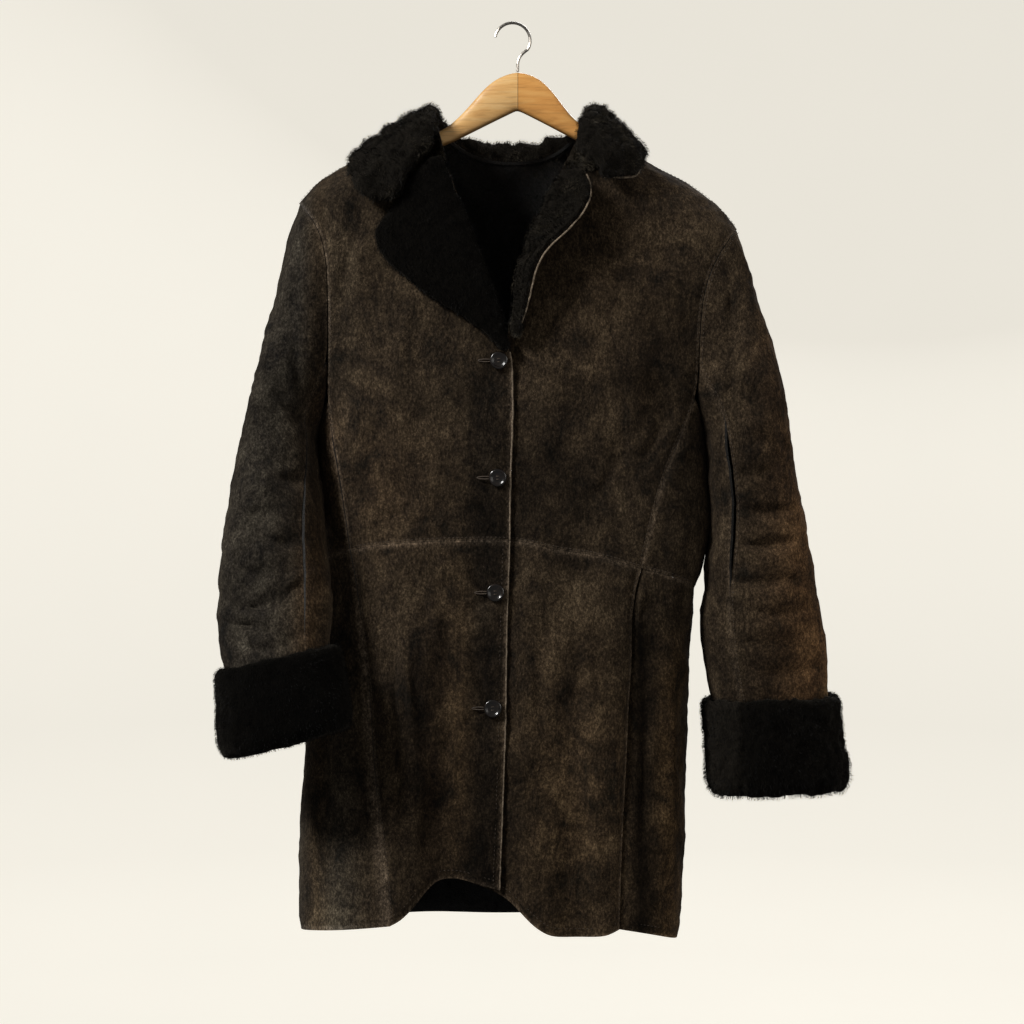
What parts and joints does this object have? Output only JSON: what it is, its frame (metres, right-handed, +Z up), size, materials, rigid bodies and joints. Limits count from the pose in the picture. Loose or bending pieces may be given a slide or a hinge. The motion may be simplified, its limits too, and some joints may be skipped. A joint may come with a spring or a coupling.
{
  "type": "suede shearling coat on a wooden hanger",
  "caption": "Suede shearling coat with fur collar, turned-back fur fronts and fur cuffs, buttoned, hanging on a wooden hanger.",
  "frame": {"origin": "the inside top of the hanger's hook, where a rail carries it", "axes": "+Z up, +X to the right of a viewer facing the front, +Y away from that viewer"},
  "size_m": [0.6524, 0.2689, 0.966],
  "materials": {
    "suede": "napped suede, dark brown",
    "fur": "dense clipped fur, black-brown",
    "horn": "dark, horn-like, half gloss",
    "wood": "varnished, honey coloured",
    "steel": "nickel plated wire"
  },
  "bodies": {
    "root": {"front_upper_L": "suede", "front_upper_R": "suede", "side_upper_L": "suede", "side_upper_R": "suede", "back_upper": "suede", "front_skirt_L": "suede", "front_skirt_R": "suede", "side_skirt_L": "suede", "side_skirt_R": "suede", "back_skirt": "suede", "sleeve_upper_L": "suede", "sleeve_under_L": "suede", "sleeve_upper_R": "suede", "sleeve_under_R": "suede", "cuff_L": "fur", "cuff_R": "fur", "collar": "fur", "lapel_L": "fur", "lapel_R": "fur", "button_1": "horn", "button_2": "horn", "button_3": "horn", "button_4": "horn", "hanger_wood": "wood", "hanger_hook": "steel"}
  },
  "joints": []
}
